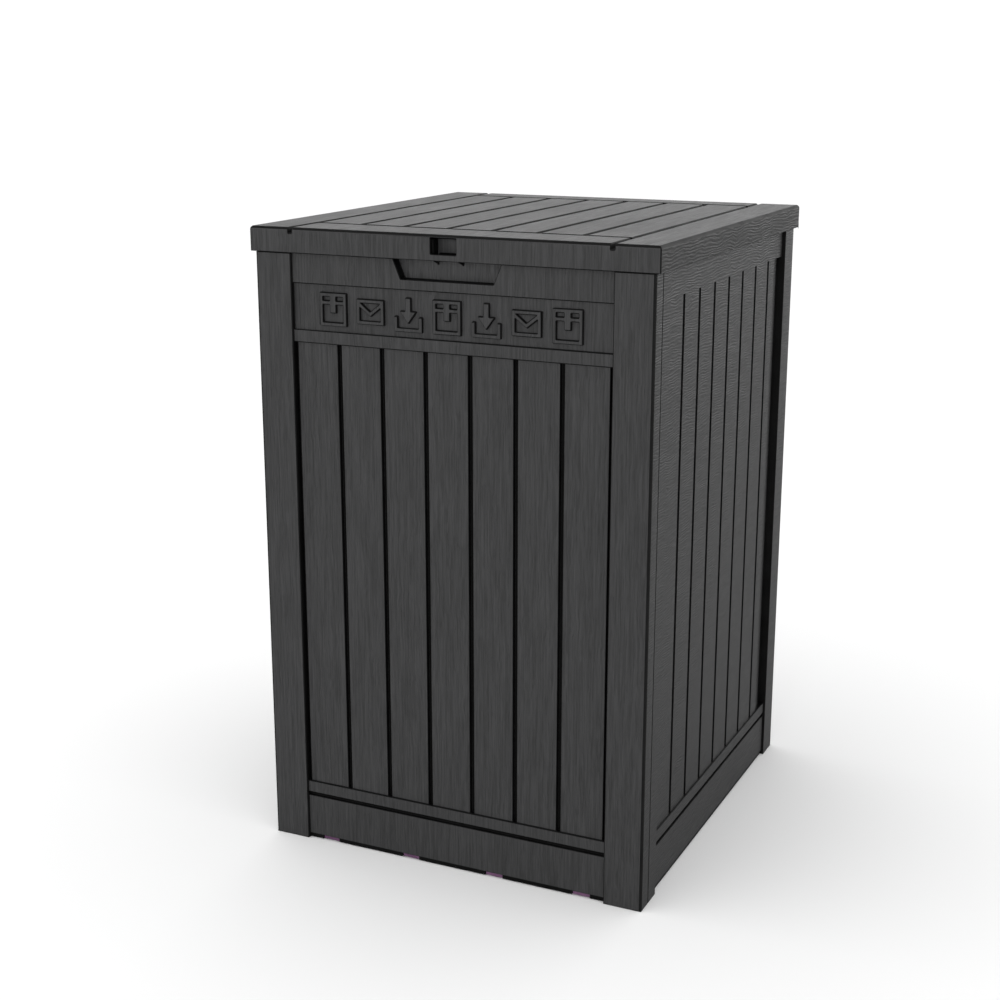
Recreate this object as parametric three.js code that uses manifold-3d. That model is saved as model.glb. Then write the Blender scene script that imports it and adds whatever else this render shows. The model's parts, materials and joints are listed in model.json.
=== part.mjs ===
// A top-opening resin parcel drop box: four wood-look wall panels with corner posts, a ribbed floor tray
// and a shallow hinged lid. Millimetres, +Z up. X is the width, the front faces -Y, and the origin is on
// the ground under the middle of the lid.

import * as THREE from "three";
import { mergeVertices } from "three/addons/utils/BufferGeometryUtils.js";
import Module from "manifold-3d";

const wasm = await Module();
wasm.setup();

// ---------------------------------------------------------------- driving dimensions

const HEIGHT = 630;
const LID_HALF = { x: 207.5, y: 220.5 };
const BODY_HALF = { x: 203, y: 219 };
const GAP = 0.3; // between pieces that rest on each other
const SEGMENTS = 24; // sides of a round bore or knuckle
const OVERLAP = 1; // how far a cutter runs past the face it cuts

// Walls. "Sunk" is the depth of a face behind the corner posts' faces.
const POST_WIDTH = 39;
const REAR_POST_SIDE_WIDTH = 31.8;
const WALL = 9.5; // from the posts' face to the wall's inner face
const TONGUE = 4.4; // thickness of a side panel's screw tongue
const TONGUE_REACH = 23; // how far a tongue runs in behind a post
const STRIP_WIDTH = 14; // width of the thick strips inside a side panel's ends
const TOP = 605.5; // the shoulder that the lid's rim closes over
const SKIRT_BOTTOM = 4.9;
const PLINTH = { bottom: 0.4, sunk: 3.7 }; // the set-back foot of a wall, in the shadow under its skirt

const HEADER = { low: 577.5, high: TOP + OVERLAP, sunk: 2.5 };
const TALL_HEADER = { low: 577.5, high: TOP + OVERLAP, sunk: 3.8 }; // on the sides and the rear
const SIGN = { low: 533, high: 577.5, sunk: 4.5 };
const RAIL = { low: 521, high: 533, sunk: 2.25 };
const FRONT_SLATS = { low: 64, high: 521, sunk: 4 };
const TALL_SLATS = { low: 64, high: 577.5, sunk: 4.25 };
const LOW_RAIL = { low: 51.8, high: 64, sunk: 2.25 };
const SHADOW_LINE = { low: 48, high: 51.8, sunk: 5.5 };
const SKIRT = { low: SKIRT_BOTTOM, high: 48, sunk: 2.5 };
const FRONT_LEVELS = [HEADER, SIGN, RAIL, FRONT_SLATS, LOW_RAIL, SHADOW_LINE, SKIRT];
const TALL_LEVELS = [TALL_HEADER, TALL_SLATS, LOW_RAIL, SHADOW_LINE, SKIRT];

const GROOVE = { frontWidth: 4.2, sideWidth: 4.9, depth: 4, lip: 0.5 };
const FRONT_FIELD = { low: -161, high: 161, slats: 7 };
const SIDE_FIELD = { low: -176, high: 183, slats: 8 };
const SLAT_CHAMFER = { edge: 181.5, width: 22, depth: 3.4 }; // on the side slat next to the rear post
const SEAM = { y: -200.5, width: 0.8, depth: 1.4 }; // the upright line in the front posts' side faces

// The upstand is the rib inside the lid's rim. The front wall is thickened behind it.
const UPSTAND = { wall: 3, frontWall: 3.5, top: 620, foot: 583, root: TOP - 6 };
const FRONT_UPSTAND_FACE = -207;
const REAR_UPSTAND_FACE = 204;
const SIDE_UPSTAND_FACE = 192;
const UPSTAND_TAB = { halfWidth: 24, top: 625.5 };
const FINGER_RECESS = { topHalf: 55, floorHalf: 47.4, floor: 587 };
const STAPLE = { inner: 11.9, outer: 13.4, front: -216.3, foot: 601.2, heel: 605, top: 608.5 };
const STAPLE_BLOCK = { inner: 13.1, outer: 17.4 }; // stands on a cheek, wholly behind the lid's rim
const STAPLE_BAR = { radius: 2.5, half: 12.6, y: -212, z: 607.5 };
const LOCK_SLOT = { half: 11.5, low: 606.6, high: 611.9, back: -205.4 }; // behind the window's sill

// Lid
const RIM = { bottom: 606, wall: 3, rearBottom: 611, rearCorner: 5 };
const PLATE = 3;
const TOP_EDGE_RADIUS = 3.5;
const PLANK_LINE = { width: 5, depth: 1.9, lip: 0.9 };
const CHANNEL = { x: 163, width: 4.2, floor: 624.3, wall: 3, lip: 1.1 };
const FRONT_BOARD_LINE = -169;
const REAR_BOARD_LINE = 181;
const LOCK_WINDOW = { left: -14.2, right: 12, low: 612, high: 627 };
const LID_RIBS = { halfX: 184, low: -198, high: 196, bottom: 617, wall: 2.4, cellsX: 7, cellsY: 7 };

// Hinge
const AXIS = { y: 212, z: 616 };
const HINGE_X = 120;
const KNUCKLE_RADIUS = 4.5;
const LID_KNUCKLE_HALF = 14;
const EAR_WIDTH = 8;
const EAR_WEB = { low: 613.5, high: UPSTAND.top };
const PIN = { radius: 2, head: 3.2, headLength: 1.6 };
const RUNNING_CLEARANCE = 0.08;

// Floor tray, its ledges and its clips
const LEDGE = { low: 5, high: 9.7, reach: 8.8, endReach: 11.5, halfX: 185 };
const TRAY = { top: 30, plate: 4, bottom: 10, halfX: 188.5, halfY: 209.2, ribX: 187, ribY: 197 };
const TRAY_RIBS = { wall: 2.4, cellsX: 7, cellsY: 7 };
const SIDE_FOOT_TOP = 34; // top of the strip that closes the gap beside the tray
const DRAIN = { radius: 4, x: 107, y: 113 };
const CLIP = { half: 9, bottom: 0.6, top: 3.6, outer: 213.8, inner: 189, step: 197.7 };
const CLIP_PEG = { radius: 2.5, y: 193.4, top: 19 };
const CLIP_X = [-139.5, -46.5, 46.5, 139.5];
const BOSS = { half: 6, length: 10 }; // under the tray, around a clip's peg

// Screws
const SCREW = { shank: 1.9, hole: 2.3, holeStart: 185.5, head: 4.2, headLength: 2.2, tip: 200.2 };
const TIP_CLEARANCE = { solid: -0.5, hole: 0.2 };
const CROSS = { half: 2.2, width: 1, depth: 1.2 };
const SCREW_Z = [95, 320, 545];
const FRONT_SCREW_Y = -192;
const REAR_SCREW_Y = 194.4;

// ---------------------------------------------------------------- materials

const resin = new THREE.MeshStandardMaterial({ color: 0x2b2b2c, roughness: 0.62, metalness: 0 });
const clipResin = new THREE.MeshStandardMaterial({ color: 0x6b3f7a, roughness: 0.55, metalness: 0 });
const steel = new THREE.MeshStandardMaterial({ color: 0x9a9c9e, roughness: 0.35, metalness: 1 });

// ---------------------------------------------------------------- solids

function solidOf(geometry) {
  geometry.deleteAttribute("normal");
  geometry.deleteAttribute("uv");
  const merged = mergeVertices(geometry, 1e-4);
  return new wasm.Manifold(new wasm.Mesh({
    numProp: 3,
    vertProperties: new Float32Array(merged.attributes.position.array),
    triVerts: new Uint32Array(merged.index.array),
  }));
}

function box(x0, x1, y0, y1, z0, z1) {
  const geometry = new THREE.BoxGeometry(x1 - x0, y1 - y0, z1 - z0);
  geometry.translate((x0 + x1) / 2, (y0 + y1) / 2, (z0 + z1) / 2);
  return solidOf(geometry);
}

// The axes of a section's two coordinates and of its extrusion, for each direction.
const X = new THREE.Vector3(1, 0, 0);
const Y = new THREE.Vector3(0, 1, 0);
const Z = new THREE.Vector3(0, 0, 1);
const TURNS = {
  x: new THREE.Matrix4().makeBasis(Y, Z, X),
  y: new THREE.Matrix4().makeBasis(X, Z, Y.clone().negate()),
  z: new THREE.Matrix4(),
};

// A prism along an axis. Its section is (y, z) along x, (x, z) along y and (x, y) along z.
function prism(axis, section, low, high) {
  const geometry = new THREE.ExtrudeGeometry(section, { depth: high - low, bevelEnabled: false });
  geometry.applyMatrix4(TURNS[axis]);
  if (axis === "x") geometry.translate(low, 0, 0);
  if (axis === "y") geometry.translate(0, high, 0);
  if (axis === "z") geometry.translate(0, 0, low);
  return solidOf(geometry);
}

function outline(points) {
  return new THREE.Shape(points.map(([u, v]) => new THREE.Vector2(u, v)));
}

// A cylinder along x whose faces stay outside the given radius if it is a bore.
function rod(radius, x0, x1, y, z, isBore = false) {
  const corner = isBore ? radius / Math.cos(Math.PI / SEGMENTS) : radius;
  const geometry = new THREE.CylinderGeometry(corner, corner, x1 - x0, SEGMENTS);
  geometry.rotateZ(Math.PI / 2);
  geometry.translate((x0 + x1) / 2, y, z);
  return solidOf(geometry);
}

function upright(radius, x, y, z0, z1) {
  const geometry = new THREE.CylinderGeometry(radius, radius, z1 - z0, SEGMENTS);
  geometry.rotateX(Math.PI / 2);
  geometry.translate(x, y, (z0 + z1) / 2);
  return solidOf(geometry);
}

function join(solids) {
  return solids.reduce((whole, solid) => whole.add(solid));
}

function cut(solid, tools) {
  return solid.subtract(join(tools));
}

const group = new THREE.Group();

function addPiece(name, solid, material) {
  const result = solid.getMesh();
  const geometry = new THREE.BufferGeometry();
  geometry.setAttribute("position", new THREE.BufferAttribute(result.vertProperties, 3));
  geometry.setIndex(new THREE.BufferAttribute(result.triVerts, 1));
  geometry.computeVertexNormals();
  const mesh = new THREE.Mesh(geometry, material);
  mesh.name = name;
  group.add(mesh);
}

// ---------------------------------------------------------------- wall faces

// A wall is described by u, along it, w, inwards from the posts' face, and z. These turn (u, w) into (x, y).
const PLACES = {
  front: (u, w) => [u, -BODY_HALF.y + w],
  rear: (u, w) => [u, BODY_HALF.y - w],
  right: (u, w) => [BODY_HALF.x - w, u],
  left: (u, w) => [-BODY_HALF.x + w, u],
};

function wallPrism(side, points, low, high) {
  return prism("z", outline(points.map(([u, w]) => PLACES[side](u, w))), low, high);
}

function wallBox(side, u0, u1, w0, w1, low, high) {
  return wallPrism(side, [[u0, w0], [u1, w0], [u1, w1], [u0, w1]], low, high);
}

// A groove with lipped edges, sunk into a face that is itself sunk.
function groove(side, u, level, width) {
  const half = width / 2;
  const top = level.sunk - OVERLAP;
  const section = [
    [u - half - GROOVE.lip, top],
    [u + half + GROOVE.lip, top],
    [u + half + GROOVE.lip, level.sunk],
    [u + half, level.sunk + GROOVE.lip],
    [u + half, level.sunk + GROOVE.depth],
    [u - half, level.sunk + GROOVE.depth],
    [u - half, level.sunk + GROOVE.lip],
    [u - half - GROOVE.lip, level.sunk],
  ];
  return wallPrism(side, section, level.low, level.high);
}

// Everything that is cut from a wall's outer face between its posts' edges.
function faceCutters(side, edges, field, levels, slatLevel, grooveWidth) {
  const sunk = levels.map((level) => (
    wallBox(side, edges.low, edges.high, -OVERLAP, level.sunk, level.low, level.high)
  ));
  const pitch = (field.high - field.low) / field.slats;
  const grooves = [];
  for (let i = 1; i < field.slats; i += 1) {
    grooves.push(groove(side, field.low + i * pitch, slatLevel, grooveWidth));
  }
  const deep = slatLevel.sunk + GROOVE.depth;
  const borders = [[edges.low, field.low], [field.high, edges.high]].map(([u0, u1]) => (
    wallBox(side, u0, u1, -OVERLAP, deep, slatLevel.low, slatLevel.high)
  ));
  return [...sunk, ...grooves, ...borders];
}

// A sloping cut along the edge of the side slat next to the rear post.
function slatChamfer(side) {
  const { sunk, low, high } = TALL_SLATS;
  const { edge, width, depth } = SLAT_CHAMFER;
  const section = [
    [edge - width, sunk],
    [edge, sunk + depth],
    [edge, sunk + GROOVE.depth],
    [SIDE_FIELD.high + OVERLAP, sunk + GROOVE.depth],
    [SIDE_FIELD.high + OVERLAP, sunk - OVERLAP],
    [edge - width, sunk - OVERLAP],
  ];
  return wallPrism(side, section, low, high);
}

// What is cut from the foot of the front or the rear wall: the space under the skirt and the clips' slots.
function plinthCutters(side) {
  const reach = WALL + OVERLAP;
  const slot = CLIP.half + GAP;
  return [
    wallBox(side, -INNER_EDGE, INNER_EDGE, -OVERLAP, reach, -OVERLAP, PLINTH.bottom),
    wallBox(side, -INNER_EDGE, INNER_EDGE, -OVERLAP, PLINTH.sunk, 0, SKIRT_BOTTOM),
    ...CLIP_X.map((x) => wallBox(side, x - slot, x + slot, -OVERLAP, reach, -OVERLAP, SKIRT_BOTTOM)),
  ];
}

const INNER_EDGE = BODY_HALF.x - POST_WIDTH;
const FRONT_EDGES = { low: -INNER_EDGE, high: INNER_EDGE };
const FRONT_POST_END = -BODY_HALF.y + POST_WIDTH;
const REAR_POST_END = BODY_HALF.y - REAR_POST_SIDE_WIDTH;
const FLANGE_X = BODY_HALF.x - WALL; // inner face of a post's side flange

// ---------------------------------------------------------------- raised sign

const ICON = { half: 14.5, low: 538.5, high: 570, stroke: 3.4, raise: 2.5, pitch: 40 };

function plate(x0, x1, z0, z1) {
  const face = -BODY_HALF.y + SIGN.sunk;
  return box(x0, x1, face - ICON.raise, face + OVERLAP, z0, z1);
}

function raisedShape(points) {
  const face = -BODY_HALF.y + SIGN.sunk;
  return prism("y", outline(points), face - ICON.raise, face + OVERLAP);
}

function frame(x, z0, z1) {
  const { half, stroke } = ICON;
  const hole = box(x - half + stroke, x + half - stroke, -BODY_HALF.y, 0, z0 + stroke, z1 - stroke);
  return plate(x - half, x + half, z0, z1).subtract(hole);
}

// A box seen from the side, with its lid line and a strip of tape.
function parcelIcon(x) {
  const flap = ICON.high - 11;
  return [
    frame(x, ICON.low, ICON.high),
    plate(x - ICON.half, x + ICON.half, flap, flap + ICON.stroke),
    plate(x - 3.2, x + 3.2, flap - 8, ICON.high),
  ];
}

// An envelope with its pointed flap.
function envelopeIcon(x) {
  const low = ICON.low + 4;
  const high = ICON.high - 4;
  const side = ICON.half - 1;
  const top = high - 1;
  const point = low + 7.5;
  const thick = ICON.stroke * 1.3;
  return [
    frame(x, low, high),
    raisedShape([
      [x - side, top],
      [x - side, top - thick],
      [x, point],
      [x + side, top - thick],
      [x + side, top],
      [x, point + thick],
    ]),
  ];
}

// An arrow that points down into an open tray.
function dropIcon(x) {
  const neck = ICON.low + 19;
  return [
    raisedShape([
      [x - 2.8, ICON.high],
      [x - 2.8, neck],
      [x - 8.5, neck],
      [x, ICON.low + 7.5],
      [x + 8.5, neck],
      [x + 2.8, neck],
      [x + 2.8, ICON.high],
    ]),
    plate(x - ICON.half, x + ICON.half, ICON.low, ICON.low + ICON.stroke),
    plate(x - ICON.half, x - ICON.half + ICON.stroke, ICON.low, ICON.low + 14),
    plate(x + ICON.half - ICON.stroke, x + ICON.half, ICON.low, ICON.low + 14),
  ];
}

function sign() {
  const icons = [parcelIcon, envelopeIcon, dropIcon, parcelIcon, dropIcon, envelopeIcon, parcelIcon];
  return icons.flatMap((icon, i) => icon((i - (icons.length - 1) / 2) * ICON.pitch));
}

// ---------------------------------------------------------------- front panel

function screwHoles(y) {
  const sides = [-1, 1];
  return sides.flatMap((side) => SCREW_Z.map((z) => {
    const ends = [side * SCREW.holeStart, side * (SCREW.tip + TIP_CLEARANCE.hole)];
    return rod(SCREW.hole, Math.min(...ends), Math.max(...ends), y, z, true);
  }));
}

// Two cheeks, the blocks above them and a bar that a padlock's shackle goes round.
function staple() {
  const { inner, outer, front, foot, heel, top } = STAPLE;
  const block = STAPLE_BLOCK;
  const back = FRONT_UPSTAND_FACE + OVERLAP;
  const cheek = outline([[back, foot], [front, heel], [front, top], [back, top]]);
  const blockLow = top - OVERLAP;
  const { radius, half, y, z } = STAPLE_BAR;
  return [
    prism("x", cheek, inner, outer),
    prism("x", cheek, -outer, -inner),
    box(block.inner, block.outer, front, back, blockLow, UPSTAND_TAB.top),
    box(-block.outer, -block.inner, front, back, blockLow, UPSTAND_TAB.top),
    rod(radius, -half, half, y, z),
  ];
}

function frontPanel() {
  const { x, y } = BODY_HALF;
  const back = FRONT_UPSTAND_FACE + UPSTAND.frontWall;
  const ledgeFront = -y + WALL;
  const shell = join([
    box(-x, x, -y, -y + WALL, 0, TOP),
    box(FLANGE_X, x, -y, FRONT_POST_END, 0, TOP),
    box(-x, -FLANGE_X, -y, FRONT_POST_END, 0, TOP),
    box(-FLANGE_X - OVERLAP, FLANGE_X + OVERLAP, -y, back, UPSTAND.foot, TOP),
    box(-LEDGE.halfX, LEDGE.halfX, ledgeFront - OVERLAP, ledgeFront + LEDGE.endReach, LEDGE.low, LEDGE.high),
  ]);
  const { topHalf, floorHalf, floor } = FINGER_RECESS;
  const slope = (topHalf - floorHalf) / (TOP - floor);
  const rise = TOP + OVERLAP - floor;
  const recess = outline([
    [-floorHalf, floor],
    [floorHalf, floor],
    [floorHalf + slope * rise, floor + rise],
    [-floorHalf - slope * rise, floor + rise],
  ]);
  const tools = [
    ...faceCutters("front", FRONT_EDGES, FRONT_FIELD, FRONT_LEVELS, FRONT_SLATS, GROOVE.frontWidth),
    ...plinthCutters("front"),
    prism("y", recess, -y - OVERLAP, FRONT_UPSTAND_FACE),
    ...screwHoles(FRONT_SCREW_Y),
    ...["right", "left"].map((side) => wallBox(
      side,
      SEAM.y - SEAM.width / 2,
      SEAM.y + SEAM.width / 2,
      -OVERLAP,
      SEAM.depth,
      -OVERLAP,
      TOP + OVERLAP,
    )),
  ];
  const tab = UPSTAND_TAB.halfWidth;
  const uprights = [
    box(-SIDE_UPSTAND_FACE, SIDE_UPSTAND_FACE, FRONT_UPSTAND_FACE, back, UPSTAND.root, UPSTAND.top),
    box(-tab, tab, FRONT_UPSTAND_FACE, back, UPSTAND.root, UPSTAND_TAB.top),
  ];
  const { half, low, high } = LOCK_SLOT;
  const slot = box(-half, half, FRONT_UPSTAND_FACE - OVERLAP, LOCK_SLOT.back, low, high);
  const wall = cut(join([cut(shell, tools), ...uprights]), [slot]);
  return join([wall, ...staple(), ...sign()]);
}

// ---------------------------------------------------------------- rear panel

function earSpans(centre) {
  const inner = LID_KNUCKLE_HALF + GAP;
  return [[centre - inner - EAR_WIDTH, centre - inner], [centre + inner, centre + inner + EAR_WIDTH]];
}

function rearPanel() {
  const { x, y } = BODY_HALF;
  const front = REAR_UPSTAND_FACE - UPSTAND.wall;
  const ledgeRear = y - WALL;
  const shell = join([
    box(-x, x, y - WALL, y, 0, TOP),
    box(FLANGE_X, x, REAR_POST_END, y, 0, TOP),
    box(-x, -FLANGE_X, REAR_POST_END, y, 0, TOP),
    box(-FLANGE_X - OVERLAP, FLANGE_X + OVERLAP, front, y, UPSTAND.foot, TOP),
    box(-LEDGE.halfX, LEDGE.halfX, ledgeRear - LEDGE.endReach, ledgeRear + OVERLAP, LEDGE.low, LEDGE.high),
  ]);
  const tools = [
    ...faceCutters("rear", FRONT_EDGES, FRONT_FIELD, TALL_LEVELS, TALL_SLATS, GROOVE.frontWidth),
    ...plinthCutters("rear"),
    ...screwHoles(REAR_SCREW_Y),
  ];
  const ears = [-HINGE_X, HINGE_X].flatMap(earSpans).flatMap(([x0, x1]) => [
    box(x0, x1, REAR_UPSTAND_FACE - OVERLAP, AXIS.y, EAR_WEB.low, EAR_WEB.high),
    rod(KNUCKLE_RADIUS, x0, x1, AXIS.y, AXIS.z),
  ]);
  const reach = HINGE_X + LID_KNUCKLE_HALF + EAR_WIDTH + OVERLAP;
  const bores = [-1, 1].map((side) => {
    const ends = [side * (HINGE_X * 2 - reach), side * reach];
    return rod(PIN.radius + GAP, Math.min(...ends), Math.max(...ends), AXIS.y, AXIS.z, true);
  });
  const wall = join([
    cut(shell, tools),
    box(-x, x, front, REAR_UPSTAND_FACE, UPSTAND.root, UPSTAND.top),
    ...ears,
  ]);
  return cut(wall, bores);
}

// ---------------------------------------------------------------- side panels

function sidePanel(side) {
  const edges = { low: FRONT_POST_END + GAP, high: REAR_POST_END - GAP };
  const tongueFront = FRONT_POST_END - TONGUE_REACH;
  const tongueRear = REAR_UPSTAND_FACE - UPSTAND.wall - GAP;
  const inner = WALL + GAP; // w of the tongues' outer faces
  const deep = inner + TONGUE;
  const upstandFace = BODY_HALF.x - SIDE_UPSTAND_FACE;
  const shell = join([
    wallBox(side, edges.low, edges.high, 0, inner, SKIRT_BOTTOM, TOP),
    wallBox(side, edges.low, edges.high, PLINTH.sunk, inner, PLINTH.bottom, SKIRT_BOTTOM + OVERLAP),
    wallBox(side, tongueFront, edges.low + STRIP_WIDTH, inner, deep, SKIRT_BOTTOM, TOP),
    wallBox(side, edges.high - STRIP_WIDTH, tongueRear, inner, deep, SKIRT_BOTTOM, TOP),
    wallBox(side, tongueFront, tongueRear, inner - OVERLAP, deep, UPSTAND.foot, TOP)
      .subtract(wallBox(side, -BODY_HALF.y, edges.low, 0, inner, 0, HEIGHT))
      .subtract(wallBox(side, edges.high, BODY_HALF.y, 0, inner, 0, HEIGHT)),
    wallBox(side, edges.low, edges.high, inner - OVERLAP, deep, SKIRT_BOTTOM, SIDE_FOOT_TOP),
    wallBox(side, tongueFront, tongueRear, upstandFace, deep, UPSTAND.root, UPSTAND.top),
    wallBox(side, edges.low, edges.high, deep - OVERLAP, deep + LEDGE.reach, LEDGE.low, LEDGE.high),
  ]);
  const strips = [[edges.low, edges.low + STRIP_WIDTH], [edges.high - STRIP_WIDTH, edges.high]];
  const joints = strips.map(([u0, u1]) => (
    wallBox(side, u0, u1, inner - OVERLAP, deep, SKIRT_BOTTOM, TOP)
  ));
  const tools = faceCutters(side, edges, SIDE_FIELD, TALL_LEVELS, TALL_SLATS, GROOVE.sideWidth);
  const [x0] = PLACES[side](0, inner - OVERLAP);
  const [x1] = PLACES[side](0, deep + OVERLAP);
  const holes = [FRONT_SCREW_Y, REAR_SCREW_Y].flatMap((y) => SCREW_Z.map((z) => (
    rod(SCREW.hole, Math.min(x0, x1), Math.max(x0, x1), y, z, true)
  )));
  return cut(join([shell, ...joints]), [...tools, slatChamfer(side), ...holes]);
}

// ---------------------------------------------------------------- floor

// A grid of ribs, its outer frame included.
function ribGrid(x0, x1, y0, y1, z0, z1, ribs) {
  const bars = [];
  for (let i = 0; i <= ribs.cellsX; i += 1) {
    const x = x0 + (x1 - x0 - ribs.wall) * i / ribs.cellsX;
    bars.push(box(x, x + ribs.wall, y0, y1, z0, z1));
  }
  for (let i = 0; i <= ribs.cellsY; i += 1) {
    const y = y0 + (y1 - y0 - ribs.wall) * i / ribs.cellsY;
    bars.push(box(x0, x1, y, y + ribs.wall, z0, z1));
  }
  return bars;
}

function floorPanel() {
  const { halfX, halfY, ribX, ribY, top, plate: thick, bottom } = TRAY;
  const bosses = [-1, 1].flatMap((side) => CLIP_X.map((x) => {
    const ends = [side * (ribY - BOSS.length), side * ribY];
    return box(x - BOSS.half, x + BOSS.half, Math.min(...ends), Math.max(...ends), bottom, top - OVERLAP);
  }));
  const pegHoles = [-1, 1].flatMap((side) => CLIP_X.map((x) => (
    upright(CLIP_PEG.radius + GAP, x, side * CLIP_PEG.y, bottom - OVERLAP, CLIP_PEG.top + GAP)
  )));
  const drains = [-1, 1].flatMap((sx) => [-1, 1].map((sy) => (
    upright(DRAIN.radius, sx * DRAIN.x, sy * DRAIN.y, top - thick - OVERLAP, top + OVERLAP)
  )));
  const tray = join([
    box(-halfX, halfX, -halfY, halfY, top - thick, top),
    ...ribGrid(-ribX, ribX, -ribY, ribY, bottom, top - OVERLAP, TRAY_RIBS),
    ...bosses,
  ]);
  return cut(tray, [...pegHoles, ...drains]);
}

// A clip that hooks a wall's skirt to the tray, with a peg that stands in the tray's boss.
function floorClip(x, side) {
  const span = (a, b) => [Math.min(side * a, side * b), Math.max(side * a, side * b)];
  const { half, bottom, top, outer, inner, step } = CLIP;
  return join([
    box(x - half, x + half, ...span(outer, inner), bottom, top),
    box(x - half, x + half, ...span(step, inner), top - OVERLAP, TRAY.bottom - GAP),
    upright(CLIP_PEG.radius, x, side * CLIP_PEG.y, top, CLIP_PEG.top),
  ]);
}

// ---------------------------------------------------------------- lid

// A section of the lid's block with rounded top corners.
function roundedSection(half) {
  const shape = new THREE.Shape();
  shape.moveTo(-half, RIM.bottom);
  shape.lineTo(half, RIM.bottom);
  shape.lineTo(half, HEIGHT - TOP_EDGE_RADIUS);
  shape.absarc(half - TOP_EDGE_RADIUS, HEIGHT - TOP_EDGE_RADIUS, TOP_EDGE_RADIUS, 0, Math.PI / 2);
  shape.lineTo(-half + TOP_EDGE_RADIUS, HEIGHT);
  shape.absarc(-half + TOP_EDGE_RADIUS, HEIGHT - TOP_EDGE_RADIUS, TOP_EDGE_RADIUS, Math.PI / 2, Math.PI);
  return new THREE.Shape(shape.extractPoints(4).shape);
}

// What is cut from the side rims' lower rear corners to round them.
function rearCornerCutter() {
  const radius = RIM.rearCorner;
  const shape = new THREE.Shape();
  shape.moveTo(LID_HALF.y - radius, RIM.bottom - OVERLAP);
  shape.lineTo(LID_HALF.y + OVERLAP, RIM.bottom - OVERLAP);
  shape.lineTo(LID_HALF.y + OVERLAP, RIM.bottom + radius);
  shape.lineTo(LID_HALF.y, RIM.bottom + radius);
  shape.absarc(LID_HALF.y - radius, RIM.bottom + radius, radius, 0, -Math.PI / 2, true);
  return new THREE.Shape(shape.extractPoints(5).shape);
}

// A line cut in the lid's top with lipped edges, along y or along x.
function lippedCut(axis, at, { width, lip }, depth, low, high) {
  const half = width / 2;
  const section = outline([
    [at - half - lip, HEIGHT + OVERLAP],
    [at - half - lip, HEIGHT],
    [at - half, HEIGHT - lip],
    [at - half, HEIGHT - depth],
    [at + half, HEIGHT - depth],
    [at + half, HEIGHT - lip],
    [at + half + lip, HEIGHT],
    [at + half + lip, HEIGHT + OVERLAP],
  ]);
  return prism(axis, section, low, high);
}

function lid() {
  const { x, y } = LID_HALF;
  const inner = { x: x - RIM.wall, y: y - RIM.wall };
  const plateLow = HEIGHT - PLATE;
  const block = prism("y", roundedSection(x), -y, y).intersect(prism("x", roundedSection(y), -x, x));
  const shell = block.subtract(box(-inner.x, inner.x, -inner.y, inner.y, RIM.bottom - OVERLAP, plateLow));
  const channelHalf = CHANNEL.width / 2;
  const beds = [-1, 1].map((side) => box(
    side * CHANNEL.x - channelHalf - CHANNEL.wall,
    side * CHANNEL.x + channelHalf + CHANNEL.wall,
    -inner.y - OVERLAP,
    inner.y + OVERLAP,
    CHANNEL.floor - CHANNEL.wall,
    plateLow + OVERLAP,
  ));
  const channels = [-1, 1].map((side) => (
    lippedCut("y", side * CHANNEL.x, CHANNEL, HEIGHT - CHANNEL.floor, -y - OVERLAP, y + OVERLAP)
  ));
  const knuckles = [-HINGE_X, HINGE_X].flatMap((centre) => {
    const x0 = centre - LID_KNUCKLE_HALF;
    const x1 = centre + LID_KNUCKLE_HALF;
    const web = [AXIS.y - KNUCKLE_RADIUS, AXIS.y + KNUCKLE_RADIUS];
    return [box(x0, x1, ...web, AXIS.z, plateLow + OVERLAP), rod(KNUCKLE_RADIUS, x0, x1, AXIS.y, AXIS.z)];
  });
  const pitch = (FRONT_FIELD.high - FRONT_FIELD.low) / FRONT_FIELD.slats;
  const span = CHANNEL.x;
  const lines = [
    lippedCut("x", FRONT_BOARD_LINE, PLANK_LINE, PLANK_LINE.depth, -span, span),
    lippedCut("x", REAR_BOARD_LINE, PLANK_LINE, PLANK_LINE.depth, -span, span),
  ];
  for (let i = 1; i < FRONT_FIELD.slats; i += 1) {
    const at = (i - FRONT_FIELD.slats / 2) * pitch;
    lines.push(lippedCut("y", at, PLANK_LINE, PLANK_LINE.depth, FRONT_BOARD_LINE, REAR_BOARD_LINE));
  }
  const ribs = LID_RIBS;
  const { left, right, low, high } = LOCK_WINDOW;
  const tools = [
    ...channels,
    ...lines,
    box(left, right, -y - OVERLAP, -inner.y + OVERLAP, low, high),
    box(-inner.x, inner.x, inner.y - OVERLAP, y + OVERLAP, RIM.bottom - OVERLAP, RIM.rearBottom),
    prism("x", rearCornerCutter(), -x - OVERLAP, x + OVERLAP),
    ...[-HINGE_X, HINGE_X].map((centre) => rod(
      PIN.radius + RUNNING_CLEARANCE,
      centre - LID_KNUCKLE_HALF - OVERLAP,
      centre + LID_KNUCKLE_HALF + OVERLAP,
      AXIS.y,
      AXIS.z,
      true,
    )),
  ];
  const grid = ribGrid(-ribs.halfX, ribs.halfX, ribs.low, ribs.high, ribs.bottom, plateLow + OVERLAP, ribs);
  return cut(join([shell, ...beds, ...knuckles, ...grid]), tools);
}

// ---------------------------------------------------------------- hardware

function hingePin(side) {
  const end = LID_KNUCKLE_HALF + EAR_WIDTH + GAP;
  const outer = side * (HINGE_X + end);
  const inner = side * (HINGE_X - end);
  const head = [outer + side * GAP, outer + side * (GAP + PIN.headLength)];
  const shaft = [inner, head[1]];
  return join([
    rod(PIN.radius, Math.min(...shaft), Math.max(...shaft), AXIS.y, AXIS.z),
    rod(PIN.head, Math.min(...head), Math.max(...head), AXIS.y, AXIS.z),
  ]);
}

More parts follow.
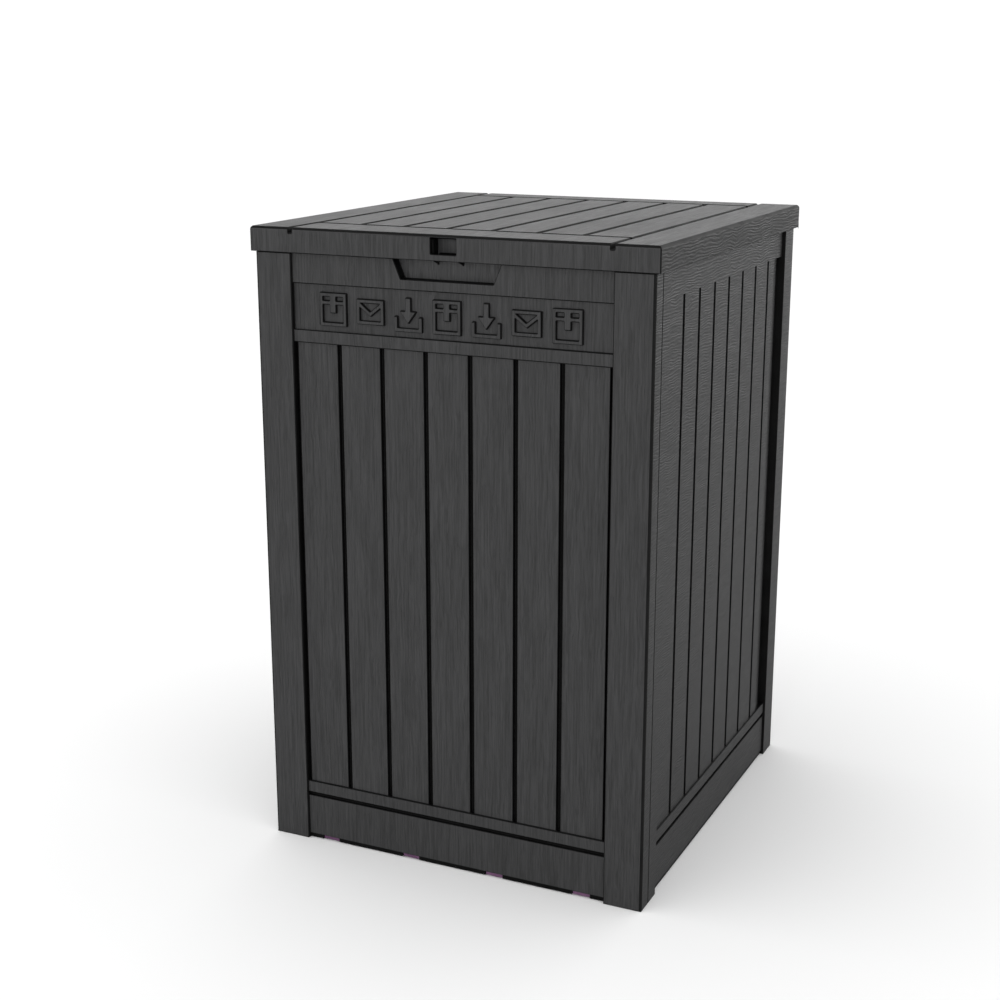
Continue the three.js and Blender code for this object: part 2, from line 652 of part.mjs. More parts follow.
// A pan-head screw from inside the box, with a cross recess in its head.
function cornerScrew(side, y, z) {
  const seat = FLANGE_X - GAP - TONGUE - GAP;
  const top = seat - SCREW.headLength;
  const span = (a, b) => [Math.min(side * a, side * b), Math.max(side * a, side * b)];
  const body = join([
    rod(SCREW.shank, ...span(seat - OVERLAP, SCREW.tip + TIP_CLEARANCE.solid), y, z),
    rod(SCREW.head, ...span(top, seat), y, z),
  ]);
  const reach = span(top - OVERLAP, top + CROSS.depth);
  const half = CROSS.width / 2;
  return cut(body, [
    box(...reach, y - CROSS.half, y + CROSS.half, z - half, z + half),
    box(...reach, y - half, y + half, z - CROSS.half, z + CROSS.half),
  ]);
}

// ---------------------------------------------------------------- assembly

addPiece("front_panel", frontPanel(), resin);
addPiece("rear_panel", rearPanel(), resin);
addPiece("side_panel_right", sidePanel("right"), resin);
addPiece("side_panel_left", sidePanel("left"), resin);
addPiece("floor_panel", floorPanel(), resin);
addPiece("lid", lid(), resin);

const HANDS = [["left", -1], ["right", 1]];
for (const [hand, side] of HANDS) {
  addPiece(`hinge_pin_${hand}`, hingePin(side), steel);
  for (const [end, y] of [["front", FRONT_SCREW_Y], ["rear", REAR_SCREW_Y]]) {
    SCREW_Z.forEach((z, i) => {
      addPiece(`corner_screw_${end}_${hand}_${i + 1}`, cornerScrew(side, y, z), steel);
    });
  }
}
for (const [end, side] of [["front", -1], ["rear", 1]]) {
  CLIP_X.forEach((x, i) => {
    addPiece(`floor_clip_${end}_${i + 1}`, floorClip(x, side), clipResin);
  });
}

export default group;
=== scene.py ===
"""Looks of the parcel drop box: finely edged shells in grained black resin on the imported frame."""

import json
import math

import bmesh
import bpy
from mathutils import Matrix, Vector

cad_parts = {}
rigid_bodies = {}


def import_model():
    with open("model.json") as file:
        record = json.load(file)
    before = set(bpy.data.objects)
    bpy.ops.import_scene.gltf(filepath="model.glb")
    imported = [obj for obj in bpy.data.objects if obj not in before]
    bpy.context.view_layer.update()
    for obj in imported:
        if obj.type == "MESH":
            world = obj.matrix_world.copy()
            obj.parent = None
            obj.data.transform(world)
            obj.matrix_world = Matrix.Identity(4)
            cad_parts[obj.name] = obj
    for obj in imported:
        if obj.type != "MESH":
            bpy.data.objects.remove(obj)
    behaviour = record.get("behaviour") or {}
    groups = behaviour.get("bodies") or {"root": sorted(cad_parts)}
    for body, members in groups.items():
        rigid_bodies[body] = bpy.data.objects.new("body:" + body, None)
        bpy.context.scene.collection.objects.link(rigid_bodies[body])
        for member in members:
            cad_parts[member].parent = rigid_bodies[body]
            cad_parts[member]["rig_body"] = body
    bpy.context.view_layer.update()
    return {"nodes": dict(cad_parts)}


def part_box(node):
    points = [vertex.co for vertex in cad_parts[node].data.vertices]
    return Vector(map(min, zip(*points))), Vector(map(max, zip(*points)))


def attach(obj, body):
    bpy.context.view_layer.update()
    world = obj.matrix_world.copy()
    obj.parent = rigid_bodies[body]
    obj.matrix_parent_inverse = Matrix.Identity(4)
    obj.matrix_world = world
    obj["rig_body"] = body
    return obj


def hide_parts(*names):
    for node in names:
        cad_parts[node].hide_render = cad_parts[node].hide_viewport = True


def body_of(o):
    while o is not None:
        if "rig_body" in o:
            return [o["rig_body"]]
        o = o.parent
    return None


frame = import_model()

MM = 0.001

# ------------------------------------------------------------------ camera

CAMERA_AZIMUTH = 25.094
CAMERA_PITCH = 15.068
CAMERA_PLACE = (0.6827, -1.5591, 0.7872)
CAMERA_LENS = 59.61
SENSOR_WIDTH = 36
CLIP_END = 200


def add_camera():
    data = bpy.data.cameras.new("camera")
    data.lens = CAMERA_LENS
    data.sensor_width = SENSOR_WIDTH
    data.clip_end = CLIP_END
    camera = bpy.data.objects.new("camera", data)
    camera.location = CAMERA_PLACE
    camera.rotation_euler = (math.radians(90 - CAMERA_PITCH), 0, math.radians(CAMERA_AZIMUTH))
    bpy.context.scene.collection.objects.link(camera)
    bpy.context.scene.camera = camera


# ------------------------------------------------------------------ material nodes

MIX_A = 6  # a mix node's colour sockets share their names with its others
MIX_B = 7
MIX_RESULT = 2
NOISE_MIDDLE = 0.5
NOISE_SPAN = (0.3, 0.7)  # most of a noise's values lie in this


class Nodes:
    """A short way to write a node tree: each call adds a node and links or sets its inputs."""

    def __init__(self, tree):
        self.tree = tree
        tree.nodes.clear()

    def add(self, kind, inputs=None, **settings):
        node = self.tree.nodes.new(kind)
        for name, value in settings.items():
            setattr(node, name, value)
        for name, value in (inputs or {}).items():
            if isinstance(value, bpy.types.NodeSocket):
                self.tree.links.new(value, node.inputs[name])
            else:
                node.inputs[name].default_value = value
        return node

    def math(self, operation, a, b=0.0, c=0.0):
        return self.add("ShaderNodeMath", {0: a, 1: b, 2: c}, operation=operation).outputs[0]

    def weighted(self, *terms):
        """The sum of some values, each times its weight."""
        total = None
        for value, weight in terms:
            term = value if weight == 1 else self.math("MULTIPLY", value, weight)
            total = term if total is None else self.math("ADD", total, term)
        return total

    def remap(self, value, span, to_span=(0.0, 1.0)):
        inputs = {
            "Value": value,
            "From Min": span[0],
            "From Max": span[1],
            "To Min": to_span[0],
            "To Max": to_span[1],
        }
        return self.add("ShaderNodeMapRange", inputs).outputs["Result"]

    def place(self):
        """Where a point is, in the box's own metres."""
        return self.add("ShaderNodeTexCoord").outputs["Object"]

    def noise(self, vector, scale, detail=3.0, roughness=0.55, distortion=0.0):
        inputs = {
            "Vector": vector,
            "Scale": scale,
            "Detail": detail,
            "Roughness": roughness,
            "Distortion": distortion,
        }
        return self.add("ShaderNodeTexNoise", inputs).outputs["Fac"]

    def stretched_noise(self, vector, scale, detail=3.0, roughness=0.55, distortion=0.0):
        """Noise with its own number of cells in a metre along each axis."""
        mapping = self.add("ShaderNodeMapping", {"Vector": vector, "Scale": scale})
        return self.noise(mapping.outputs["Vector"], 1.0, detail, roughness, distortion)

    def mix(self, factor, a, b):
        inputs = {"Factor": factor, MIX_A: a, MIX_B: b}
        return self.add("ShaderNodeMix", inputs, data_type="RGBA").outputs[MIX_RESULT]


def new_material(name):
    material = bpy.data.materials.new(name)
    material.use_nodes = True
    return material, Nodes(material.node_tree)


def grey(value, tint=0.0):
    return (value, value, value * (1 + tint), 1)


# ------------------------------------------------------------------ resin with moulded grain

# How light the black resin is in each place, as a linear grey. A pair is dark and light. The
# recess's tone is lifted as painted light, and the edge, rim edge and shade tones are painted shade.
RESIN_TONE = 0.030
LID_TONE = 0.033
SIDE_TONE = 0.020
RIM_TONE = 0.009
# painted light: the recess's back is lighter, against the shade of the lid's rim
RECESS_PAINTED_LIGHT_TONE = 0.050
EDGE_PAINTED_SHADE_TONES = (0.004, 0.007)
RIM_EDGE_PAINTED_SHADE_TONES = (0.006, 0.009)
SHADE_TONES = (0.003, 0.005)
INNER_TONES = (RESIN_TONE * 0.6, RESIN_TONE * 1.2)
DARK_TINT = 0.02  # how much bluer than grey the grain's dark parts are
LIGHT_TINT = 0.03  # and its light parts

# Specular levels.
PLAIN_SHINE = 0.5
SIDE_SHINE = 0.46
SLOPE_SHINE = 0.30
RIM_SHINE = 0.35
EDGE_SHINE = 0.15
RIM_EDGE_SHINE = 0.12
SHADE_SHINE = 0.10

# Marks that the grained and the rippled resin share. A scale is about the number of noise
# cells in a metre, and a matting is the roughness at the two ends of a noise's span.
CLOUD_SCALE = 9.0
SPECK_SCALE = 1500.0
FINE_ROUGHNESS = 0.6  # how much of a noise's finest detail shows
CLOUD_MATTING = (-0.02, 0.03)  # what the clouds add to the roughness

# Straight grain.
GRAIN_ALONG = 22.0  # cells in a metre along a board
GRAIN_ACROSS = 700.0  # and across it
GRAIN_SPAN = (0.35, 0.65)
GRAIN_MATTING = (0.57, 0.47)
FINE_STREAKS = (1.0, 1.0, 3.0)  # factors on the cells along and across a board, and detail
BROAD_STREAKS = (0.4, 0.22, 2.0)
PORE_STREAKS = (2.6, 1.4, 2.0)
PORE_SPAN = (0.58, 0.68)
FINE_WEIGHT = 0.8
BROAD_WEIGHT = 0.2
PORE_WEIGHT = -0.25
GRAIN_SPECK_WEIGHT = 0.06
SHADE_GRAIN_WEIGHT = 0.9
SHADE_CLOUD_WEIGHT = 0.1
SWAY_SCALE = 38.0
SWAY_REACH = 3 * MM  # the grain wanders by no more than half of this
BOARD_CONTRAST = 0.35
BOARD_RELIEF = 0.45 * MM
LID_CONTRAST = 0.25
LID_RELIEF = 0.25 * MM

# Ripples.
RIPPLE_RATE = 2 * math.pi / 0.0029  # the side walls' ripples are 2.9 mm apart
RIPPLE_CONTRAST = 0.4
RIPPLE_RELIEF = 0.26 * MM
LONG_SWAY_SCALE = (25.0, 20.0, 50.0)
LONG_SWAY = 26.0  # how far, in radians, the long waves shift a ripple
SHORT_SWAY_SCALE = (90.0, 70.0, 260.0)
SHORT_SWAY = 7.0
PATCH_SCALE = (45.0, 34.0, 80.0)
PATCH_SPAN = (0.36, 0.62)
PATCH_STRENGTH = (0.45, 1.0)  # the ripples' strength between the patches and in them
FIBRE_SCALE = (500.0, 60.0, 900.0)
FIBRE_MATTING = (0.55, 0.45)
RIPPLE_WEIGHT = 0.5
FIBRE_WEIGHT = 0.5
RIPPLE_SPECK_WEIGHT = 0.05
SHADE_RIPPLE_WEIGHT = 0.3
SHADE_CLOUD_SPAN = (0.35, 0.65)
POST_SHADE_SPAN = (0.157, 0.190)  # painted shade darkens the last side slat over this, in metres along Y
POST_SHADE_TONE = 0.004  # the tone the painted shade would reach at the far end, just past the slat's own edge


def grain_scale(axis, along, across):
    return tuple(along if name == axis else across for name in "xyz")


def finished(nodes, colour, roughness, height, relief, shine=PLAIN_SHINE):
    """Ends a material with a principled shader and a bump whose relief is in metres."""
    bump = nodes.add("ShaderNodeBump", {"Height": height, "Strength": 1.0, "Distance": relief})
    inputs = {
        "Base Color": colour,
        "Roughness": roughness,
        "Specular IOR Level": shine,
        "Normal": bump.outputs[0],
    }
    shader = nodes.add("ShaderNodeBsdfPrincipled", inputs)
    nodes.add("ShaderNodeOutputMaterial", {"Surface": shader.outputs[0]})


def grained_colour(nodes, shade, tone, contrast):
    """Black resin from its dark to its light tone."""
    dark = grey(tone * (1 - contrast), DARK_TINT)
    light = grey(tone * (1 + contrast), LIGHT_TINT)
    return nodes.mix(shade, dark, light)


def resin_material(name, axis, tone=RESIN_TONE, contrast=BOARD_CONTRAST, relief=BOARD_RELIEF):
    """Black resin whose embossed wood grain runs along one axis of the box."""
    material, nodes = new_material(name)
    place = nodes.place()
    swing = nodes.math("SUBTRACT", nodes.noise(place, SWAY_SCALE, 2.0), NOISE_MIDDLE)
    sway = nodes.math("MULTIPLY", swing, SWAY_REACH)
    offset = nodes.add("ShaderNodeCombineXYZ", {"X": sway, "Y": sway, "Z": sway}).outputs[0]
    wavy = nodes.add("ShaderNodeVectorMath", {0: place, 1: offset}, operation="ADD").outputs[0]

    def streaks(along, across, detail):
        scale = grain_scale(axis, GRAIN_ALONG * along, GRAIN_ACROSS * across)
        return nodes.stretched_noise(wavy, scale, detail)

    fine = streaks(*FINE_STREAKS)
    broad = streaks(*BROAD_STREAKS)
    pores = nodes.remap(streaks(*PORE_STREAKS), PORE_SPAN)
    cloud = nodes.noise(place, CLOUD_SCALE, 4.0, FINE_ROUGHNESS)
    speck = nodes.noise(place, SPECK_SCALE, 2.0, FINE_ROUGHNESS)
    grain = nodes.weighted((fine, FINE_WEIGHT), (broad, BROAD_WEIGHT))
    height = nodes.weighted((grain, 1), (pores, PORE_WEIGHT), (speck, GRAIN_SPECK_WEIGHT))
    shade = nodes.weighted((grain, SHADE_GRAIN_WEIGHT), (cloud, SHADE_CLOUD_WEIGHT))
    shade = nodes.weighted((nodes.remap(shade, GRAIN_SPAN), 1), (pores, PORE_WEIGHT))
    colour = grained_colour(nodes, shade, tone, contrast)
    roughness = nodes.math(
        "ADD",
        nodes.remap(grain, GRAIN_SPAN, GRAIN_MATTING),
        nodes.remap(cloud, NOISE_SPAN, CLOUD_MATTING),
    )
    finished(nodes, colour, roughness, height, relief)
    return material


def rippled_material(name, tone, shine, paints_post_shade=False):
    """Black resin with short wavy ripples along Y. It can take painted shade, darker towards the
    rear post.
    """
    material, nodes = new_material(name)
    place = nodes.place()
    parts = nodes.add("ShaderNodeSeparateXYZ", {0: place})
    long_sway = nodes.stretched_noise(place, LONG_SWAY_SCALE, 2.0)
    short_sway = nodes.stretched_noise(place, SHORT_SWAY_SCALE, 2.0)
    phase = nodes.weighted(
        (parts.outputs["Z"], RIPPLE_RATE),
        (long_sway, LONG_SWAY),
        (short_sway, SHORT_SWAY),
    )
    wave = nodes.math("SINE", phase)
    patch = nodes.stretched_noise(place, PATCH_SCALE, 2.0)
    ripple = nodes.math("MULTIPLY", wave, nodes.remap(patch, PATCH_SPAN, PATCH_STRENGTH))
    fibre = nodes.stretched_noise(place, FIBRE_SCALE, 3.0)
    speck = nodes.noise(place, SPECK_SCALE, 2.0, FINE_ROUGHNESS)
    cloud = nodes.noise(place, CLOUD_SCALE, 4.0, FINE_ROUGHNESS)
    height = nodes.weighted(
        (ripple, RIPPLE_WEIGHT), (fibre, FIBRE_WEIGHT), (speck, RIPPLE_SPECK_WEIGHT)
    )
    clouded = nodes.remap(cloud, NOISE_SPAN, SHADE_CLOUD_SPAN)
    shade = nodes.weighted((ripple, SHADE_RIPPLE_WEIGHT), (clouded, 1))
    colour = grained_colour(nodes, shade, tone, RIPPLE_CONTRAST)
    if paints_post_shade:
        # painted shade: the colour darkens towards the rear post along Y
        post_shade = nodes.remap(parts.outputs["Y"], POST_SHADE_SPAN)
        colour = nodes.mix(post_shade, colour, grey(POST_SHADE_TONE))
    roughness = nodes.math(
        "ADD",
        nodes.remap(fibre, GRAIN_SPAN, FIBRE_MATTING),
        nodes.remap(cloud, NOISE_SPAN, CLOUD_MATTING),
    )
    finished(nodes, colour, roughness, height, RIPPLE_RELIEF, shine)
    return material


def mottled_material(name, scales, colours, matting, relief, shine=PLAIN_SHINE):
    """Ungrained resin: clouds in its colour and roughness, and fine specks in its relief."""
    material, nodes = new_material(name)
    place = nodes.place()
    cloud = nodes.noise(place, scales[0], 3.0)
    speck = nodes.noise(place, scales[1], 2.0)
    colour = nodes.mix(nodes.remap(cloud, NOISE_SPAN), *colours)
    roughness = nodes.remap(cloud, NOISE_SPAN, matting)
    finished(nodes, colour, roughness, speck, relief, shine)
    return material


DARK_SCALES = (45.0, 1300.0)
DARK_MATTING = (0.46, 0.56)
DARK_RELIEF = 0.015 * MM


def dark_material(name, tones, shine):
    """Nearly black resin, painted shade for edges and for the narrow walls between boards."""
    colours = [grey(tone) for tone in tones]
    return mottled_material(name, DARK_SCALES, colours, DARK_MATTING, DARK_RELIEF, shine)


CLIP_COLOURS = ((0.12, 0.048, 0.115, 1), (0.20, 0.09, 0.185, 1))
CLIP_SCALES = (60.0, 1400.0)
CLIP_MATTING = (0.42, 0.58)
CLIP_RELIEF = 0.02 * MM


def clip_material():
    """Muted purple moulded plastic."""
    return mottled_material("clip_resin", CLIP_SCALES, CLIP_COLOURS, CLIP_MATTING, CLIP_RELIEF)


FLOW_SCALE = (14.0, 14.0, 4.0)
FLOW_DETAIL = (4.0, 0.55, 1.2)  # detail, roughness and distortion
INNER_SPECK_SCALE = 900.0
INNER_SPECK_WEIGHT = 0.6
INNER_FLOW_WEIGHT = 0.4
INNER_MATTING = (0.44, 0.56)
INNER_RELIEF = 0.04 * MM


def inner_material(name):
    """The plain satin resin of the faces inside the box, with faint mould flow marks."""
    material, nodes = new_material(name)
    place = nodes.place()
    flow = nodes.stretched_noise(place, FLOW_SCALE, *FLOW_DETAIL)
    speck = nodes.noise(place, INNER_SPECK_SCALE, 3.0, FINE_ROUGHNESS)
    dark, light = INNER_TONES
    colour = nodes.mix(nodes.remap(flow, NOISE_SPAN), grey(dark), grey(light))
    roughness = nodes.remap(flow, NOISE_SPAN, INNER_MATTING)
    height = nodes.weighted((speck, INNER_SPECK_WEIGHT), (flow, INNER_FLOW_WEIGHT))
    finished(nodes, colour, roughness, height, INNER_RELIEF)
    return material


STEEL_COLOURS = ((0.50, 0.51, 0.52, 1), (0.66, 0.66, 0.64, 1))
STEEL_MATTING = (0.26, 0.42)
MOTTLE_SCALE = 260.0
TURNING_SCALE = (2600.0, 300.0, 300.0)
TURNING_RELIEF = 0.05 * MM
TURNING_STRENGTH = 0.2


def steel_material():
    """Zinc-plated steel with a faint mottle and turning marks."""
    material, nodes = new_material("zinc_steel")
    place = nodes.place()
    mottle = nodes.noise(place, MOTTLE_SCALE, 4.0, FINE_ROUGHNESS)
    turned = nodes.stretched_noise(place, TURNING_SCALE, 2.0)
    colour = nodes.mix(nodes.remap(mottle, NOISE_SPAN), *STEEL_COLOURS)
    roughness = nodes.remap(mottle, NOISE_SPAN, STEEL_MATTING)
    relief = {"Height": turned, "Strength": TURNING_STRENGTH, "Distance": TURNING_RELIEF}
    bump = nodes.add("ShaderNodeBump", relief).outputs[0]
    inputs = {"Base Color": colour, "Roughness": roughness, "Metallic": 1.0, "Normal": bump}
    shader = nodes.add("ShaderNodeBsdfPrincipled", inputs)
    nodes.add("ShaderNodeOutputMaterial", {"Surface": shader.outputs[0]})
    return material


RESIN = {
    "z": resin_material("resin_grain_upright", "z"),
    "y": rippled_material("resin_rippled", SIDE_TONE, SIDE_SHINE),
    # the sloping last side slat, with painted shade towards the rear post
    "slope": rippled_material("resin_rippled_slope_painted_shade", SIDE_TONE, SLOPE_SHINE, paints_post_shade=True),
    "rim": rippled_material("resin_rippled_rim", RIM_TONE, RIM_SHINE),
    "lid": resin_material("resin_grain_lid", "y", LID_TONE, LID_CONTRAST, LID_RELIEF),
    # painted light: lighter grain for the recess's back, against the shade of the lid's rim
    "recess": resin_material("resin_grain_recess_painted_light", "z", RECESS_PAINTED_LIGHT_TONE),
    "inner": inner_material("resin_satin"),
    # painted shade: dark edges standing in for the dark reflections of rounded edges
    "edge": dark_material("resin_edge_painted_shade", EDGE_PAINTED_SHADE_TONES, EDGE_SHINE),
    "rim_edge": dark_material("resin_rim_edge_painted_shade", RIM_EDGE_PAINTED_SHADE_TONES, RIM_EDGE_SHINE),
    "shade": dark_material("resin_shade", SHADE_TONES, SHADE_SHINE),
}
RESIN_ORDER = list(RESIN)

# ------------------------------------------------------------------ finely edged shells

SHARP = math.radians(50)  # an edge that bends more than this is rounded
CREASE = math.radians(30)  # and one that bends more than this only shades as an edge
FLAT_ENOUGH = math.radians(0.3)  # faces that bend less than this are merged
SLIVER = 0.03 * MM
MOST_CORNERS = 4  # a merged face with more corners than this is cut into triangles
LID_CORNER_RADIUS = 2.4 * MM  # the lid's upright corners
CORNER_RADIUS = 2.4 * MM  # the wall posts' outer corners
POST_RADIUS = 1.0 * MM  # the posts' inner edges
STEP_RADIUS = 0.12 * MM  # the low step under the side and rear headers
EDGE_RADIUS = 0.6 * MM  # every other edge
BEVEL_SEGMENTS = 2
LARGE_FACE_WEIGHT = 100  # large faces set the shading: 50 is neutral, and more favours them
HARDWARE_RADIUS = 0.2 * MM
HARDWARE_WELD = 0.001 * MM
TOUCH = 0.05 * MM  # two places closer than this are the same place

LID_LOW, LID_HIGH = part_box("lid")
FRONT_LOW, FRONT_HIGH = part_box("front_panel")
REAR_LOW, REAR_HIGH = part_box("rear_panel")
POST_INNER = 164 * MM  # the inner edges of the posts on the front and rear
RECESS_BACK = -207 * MM  # the back of the finger recess, which is the upstand's front face
RECESS_MARGIN = 2 * MM
SHOULDER = 605.5 * MM  # the walls' top, which the lid's rim closes over
HEADER_FOOT = 577.5 * MM
SEAM_DEPTH = 1.4 * MM  # how far the seam in a front post's side is behind the post's face
PLINTH_DEPTH = 3.7 * MM  # how far a wall's foot is behind the posts' faces, under the skirt
REAR_POST_EDGE = 187.2 * MM  # the front flank of a rear post, on the side walls
BOARD_DEPTH = 4.6 * MM  # the boards' faces are no further behind the posts' faces than this
WALL_DEPTH = 9.4 * MM  # from the posts' faces nearly to a wall's inner face
LID_EDGE = 3.5 * MM  # the radius of the lid's rounded top edge
LINE_DEPTH = 5.9 * MM  # the lid's lines and channels are no deeper than this
RIM_THICKNESS = 3 * MM

# How much of a face's unit normal lies along an axis.
LEANS_UP = 0.1
LEANS_OUT = 0.3
STEEP = 0.35
MOSTLY = 0.5
FACING = 0.9
SLOPE_FACING = (0.95, 0.998)  # X in the sloping side slat, which is turned a little from it


def near(a, b):
    return abs(a - b) < TOUCH


def lid_face(centre, normal):
    """The finish of one of the lid's faces, with painted shade on its rounded edges and in its
    lines.
    """
    if centre.z > LID_HIGH.z - TOUCH:
        return "lid"
    deep_x = LID_HIGH.x - abs(centre.x)
    deep_y = LID_HIGH.y - abs(centre.y)
    on_edge = min(deep_x, deep_y) < LID_EDGE and centre.z > LID_HIGH.z - LID_EDGE
    rounded = on_edge and normal.z > LEANS_UP
    # painted shade: dark strips along the rounded top edge, where dark reflections would be
    if rounded and abs(normal.y) > LEANS_OUT:
        return "edge" if STEEP < normal.z < FACING else "lid"
    if rounded and abs(normal.x) > LEANS_OUT:
        return "rim_edge" if normal.z < FACING else "lid"
    if near(deep_x, 0) and abs(normal.x) > MOSTLY:
        return "rim"
    if near(deep_y, 0) and abs(normal.y) > MOSTLY:
        return "z"
    if centre.z > LID_HIGH.z - LINE_DEPTH and normal.z > -MOSTLY:
        return "shade"
    return "shade" if min(deep_x, deep_y) < RIM_THICKNESS - TOUCH else "inner"


def wall_face(centre, normal):
    """The finish of one of a wall's faces. Boards have grain, and the walls between are painted dark
    as shade; the recess's back is painted light.
    """
    deep_x = FRONT_HIGH.x - abs(centre.x)
    deep_y = REAR_HIGH.y - abs(centre.y)
    # painted light: the recess's back is lighter, against the shade of the lid's rim
    if near(centre.y, RECESS_BACK) and normal.y < -FACING:
        return "recess"
    in_seam = near(deep_x, SEAM_DEPTH)
    on_plinth = near(deep_x, PLINTH_DEPTH) or near(deep_y, PLINTH_DEPTH)
    behind_rim = centre.z > SHOULDER + TOUCH and centre.y < RECESS_BACK - TOUCH
    if in_seam or on_plinth or behind_rim:
        return "shade"
    # painted shade on the rear post's flank, in the groove beside it
    if near(centre.y, REAR_POST_EDGE) and normal.y < -FACING:
        return "edge"
    # the sloping last side slat, with painted shade towards the rear post
    if SLOPE_FACING[0] < abs(normal.x) < SLOPE_FACING[1]:
        return "slope"
    if deep_x < BOARD_DEPTH and normal.x * centre.x > 0 and abs(normal.x) > FACING:
        return "y"
    if deep_y < BOARD_DEPTH and normal.y * centre.y > 0 and abs(normal.y) > FACING:
        return "z"
    if min(deep_x, deep_y) < WALL_DEPTH and abs(centre.z - SHOULDER) > TOUCH:
        return "shade"
    in_front = centre.y < RECESS_BACK + RECESS_MARGIN and abs(centre.x) < POST_INNER
    return "shade" if in_front and normal.y < -FACING else "inner"


def floor_face(centre, normal):
    """The finish of the floor tray's faces, all of which are inside or underneath."""
    return "inner"


def edge_radius(edge):
    """How round one of a shell's sharp edges is."""
    a, b = (vert.co for vert in edge.verts)
    upright = near(a.x, b.x) and near(a.y, b.y)
    if upright and near(abs(a.x), FRONT_HIGH.x) and near(abs(a.y), REAR_HIGH.y):
        return CORNER_RADIUS
    if upright and near(abs(a.x), LID_HIGH.x) and near(abs(a.y), LID_HIGH.y):
        return LID_CORNER_RADIUS
    if upright and near(abs(a.y), REAR_HIGH.y) and near(abs(a.x), POST_INNER):
        return POST_RADIUS
    at_header_foot = near(a.z, HEADER_FOOT) and near(b.z, HEADER_FOOT)
    if at_header_foot and min(a.y, b.y) > RECESS_BACK:
        return STEP_RADIUS
    return EDGE_RADIUS


def edged_shell(node, finish_of):
    """A copy of a CAD node with merged faces, rounded edges in painted shade, and a finish for each
    face, painted light and shade among them.
    """
    shell = bmesh.new()
    shell.from_mesh(frame["nodes"][node].data)
    bmesh.ops.remove_doubles(shell, verts=shell.verts, dist=SLIVER)
    bmesh.ops.dissolve_limit(
        shell, angle_limit=FLAT_ENOUGH, verts=shell.verts, edges=shell.edges
    )
    crowded = [face for face in shell.faces if len(face.verts) > MOST_CORNERS]
    bmesh.ops.triangulate(shell, faces=crowded, quad_method="BEAUTY", ngon_method="BEAUTY")
    weights = shell.edges.layers.float.new("bevel_weight_edge")
    for edge in shell.edges:
        if len(edge.link_faces) != 2:
            continue
        angle = edge.calc_face_angle()
        if angle > SHARP:
            edge[weights] = edge_radius(edge) / LID_CORNER_RADIUS
        elif angle > CREASE:
            edge.smooth = False
    shell.normal_update()
    for face in shell.faces:
        face.smooth = True
        finish = finish_of(face.calc_center_median(), face.normal)
        face.material_index = RESIN_ORDER.index(finish)
    mesh = bpy.data.meshes.new(f"{node}_shell")
    shell.to_mesh(mesh)
    shell.free()
    for material in RESIN.values():
        mesh.materials.append(material)
    piece = bpy.data.objects.new(f"{node}_shell", mesh)
    bpy.context.scene.collection.objects.link(piece)
    bevel = piece.modifiers.new("edges", "BEVEL")
    bevel.width = LID_CORNER_RADIUS
    bevel.segments = BEVEL_SEGMENTS
    bevel.limit_method = "WEIGHT"
    bevel.use_clamp_overlap = False
    bevel.miter_outer = "MITER_ARC"
    # the rounded edges take the dark edge material: painted shade
    bevel.material = RESIN_ORDER.index("edge")
    flats = piece.modifiers.new("flats", "WEIGHTED_NORMAL")
    flats.mode = "FACE_AREA"
    flats.weight = LARGE_FACE_WEIGHT
    flats.keep_sharp = True
    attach(piece, body_of(frame["nodes"][node])[0])
    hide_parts(node)
    return piece


def finish_hardware(node, material):
    """Gives a small CAD part its material and lightly rounded edges."""
    part = frame["nodes"][node]
    part.data.materials.clear()
    part.data.materials.append(material)
    weld = part.modifiers.new("weld", "WELD")
    weld.merge_threshold = HARDWARE_WELD
    bevel = part.modifiers.new("edges", "BEVEL")
    bevel.width = HARDWARE_RADIUS
    bevel.segments = BEVEL_SEGMENTS
    bevel.limit_method = "ANGLE"
    bevel.angle_limit = SHARP


for panel in ("front_panel", "rear_panel", "side_panel_left", "side_panel_right"):
    edged_shell(panel, wall_face)
edged_shell("lid", lid_face)
edged_shell("floor_panel", floor_face)

steel = steel_material()
clip_plastic = clip_material()
for name in frame["nodes"]:
    if name.startswith(("hinge_pin", "corner_screw")):
        finish_hardware(name, steel)
    if name.startswith("floor_clip"):
        finish_hardware(name, clip_plastic)

# ------------------------------------------------------------------ studio

FLOOR_HALF = 60.0
FLOOR_DROP = 0.0002  # the floor is this far under the box's feet
FLOOR_WHITE = 0.92
FLOOR_MIRRORED = 0.42  # how light the floor is in the box's reflections
BACKDROP = 1.3  # the world as the camera sees it
DOME = 1.12  # the world as it lights the box
HORIZON = 2.25  # the world as it is reflected, low down
OVERHEAD = 0.25  # and high up
HORIZON_SPAN = (0.10, 0.60)  # it darkens between these heights of a unit direction
ROOM_SPAN = (-0.5, 0.7)  # and lightens from the front of the room to the back, along Y
ROOM_LEVELS = (0.58, 1.0)
KEY_PLACE = (-0.6, -1.0, 3.4)
KEY_TARGET = (0, 0, 0.3)
KEY_SIZE = 2.6
KEY_POWER = 14


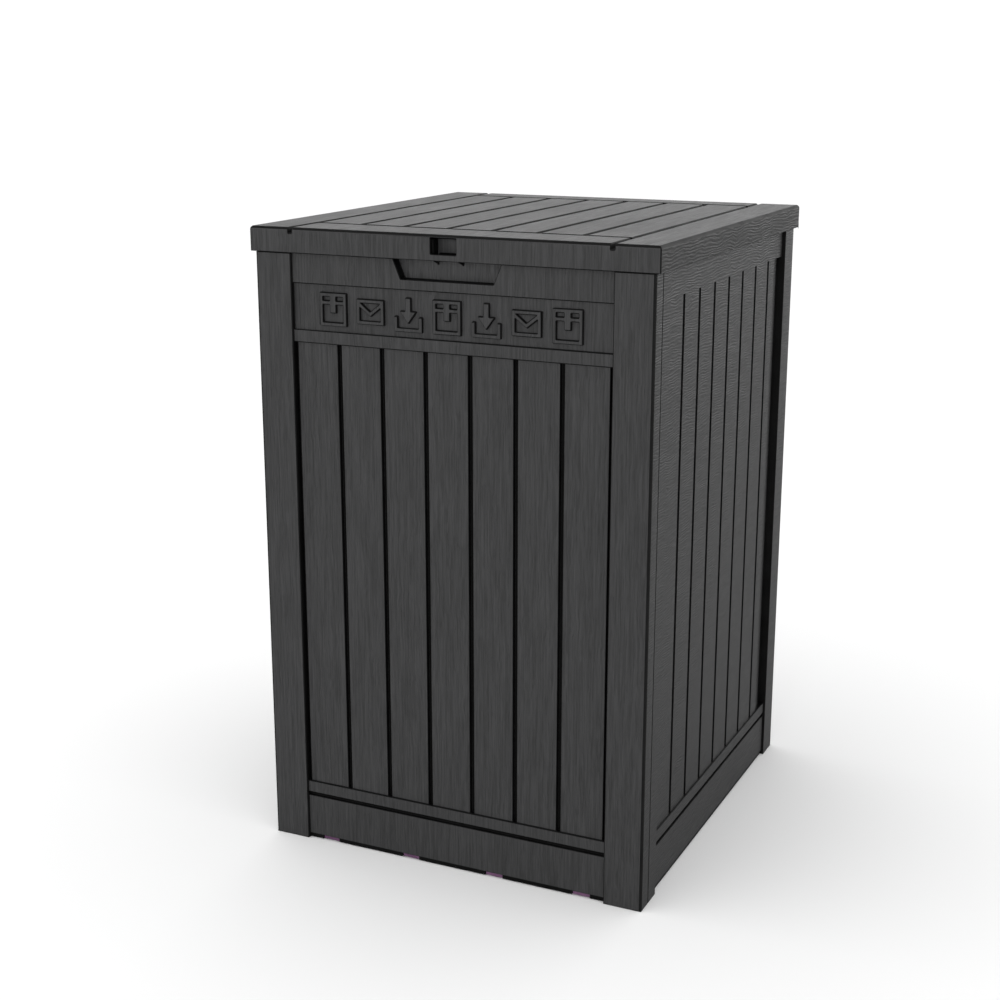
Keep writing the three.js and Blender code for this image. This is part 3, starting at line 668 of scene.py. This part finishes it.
def floor_material():
    material, nodes = new_material("studio_floor")
    mirrored = nodes.add("ShaderNodeLightPath").outputs["Is Glossy Ray"]
    colour = nodes.mix(mirrored, grey(FLOOR_WHITE), grey(FLOOR_MIRRORED))
    diffuse = nodes.add("ShaderNodeBsdfDiffuse", {"Color": colour}).outputs[0]
    nodes.add("ShaderNodeOutputMaterial", {"Surface": diffuse})
    return material


def add_floor():
    mesh = bpy.data.meshes.new("floor")
    half = FLOOR_HALF
    corners = [(-half, -half), (half, -half), (half, half), (-half, half)]
    mesh.from_pydata([(x, y, -FLOOR_DROP) for x, y in corners], [], [(0, 1, 2, 3)])
    mesh.materials.append(floor_material())
    floor = bpy.data.objects.new("floor", mesh)
    bpy.context.scene.collection.objects.link(floor)


def add_world():
    """A white studio, brightest in reflections at the horizon behind the box."""
    world = bpy.data.worlds.new("studio")
    world.use_nodes = True
    nodes = Nodes(world.node_tree)

    def background(strength):
        inputs = {"Color": grey(1.0), "Strength": strength}
        return nodes.add("ShaderNodeBackground", inputs).outputs[0]

    def shader_mix(factor, a, b):
        return nodes.add("ShaderNodeMixShader", {0: factor, 1: a, 2: b}).outputs[0]

    direction = nodes.add("ShaderNodeTexCoord").outputs["Generated"]
    parts = nodes.add("ShaderNodeSeparateXYZ", {0: direction})
    level = nodes.remap(parts.outputs["Z"], HORIZON_SPAN, (HORIZON, OVERHEAD))
    behind = nodes.remap(parts.outputs["Y"], ROOM_SPAN, ROOM_LEVELS)
    reflected = nodes.math("MULTIPLY", level, behind)
    path = nodes.add("ShaderNodeLightPath").outputs
    lighting = shader_mix(path["Is Glossy Ray"], background(DOME), background(reflected))
    both = shader_mix(path["Is Camera Ray"], lighting, background(BACKDROP))
    nodes.add("ShaderNodeOutputWorld", {"Surface": both})
    bpy.context.scene.world = world


def add_key_light():
    data = bpy.data.lights.new("key", "AREA")
    data.shape = "DISK"
    data.size = KEY_SIZE
    data.energy = KEY_POWER
    light = bpy.data.objects.new("key", data)
    light.location = KEY_PLACE
    aim = Vector(KEY_TARGET) - Vector(KEY_PLACE)
    light.rotation_euler = aim.to_track_quat("-Z", "Y").to_euler()
    bpy.context.scene.collection.objects.link(light)


add_camera()
add_floor()
add_world()
add_key_light()
bpy.context.scene.view_settings.view_transform = "Standard"
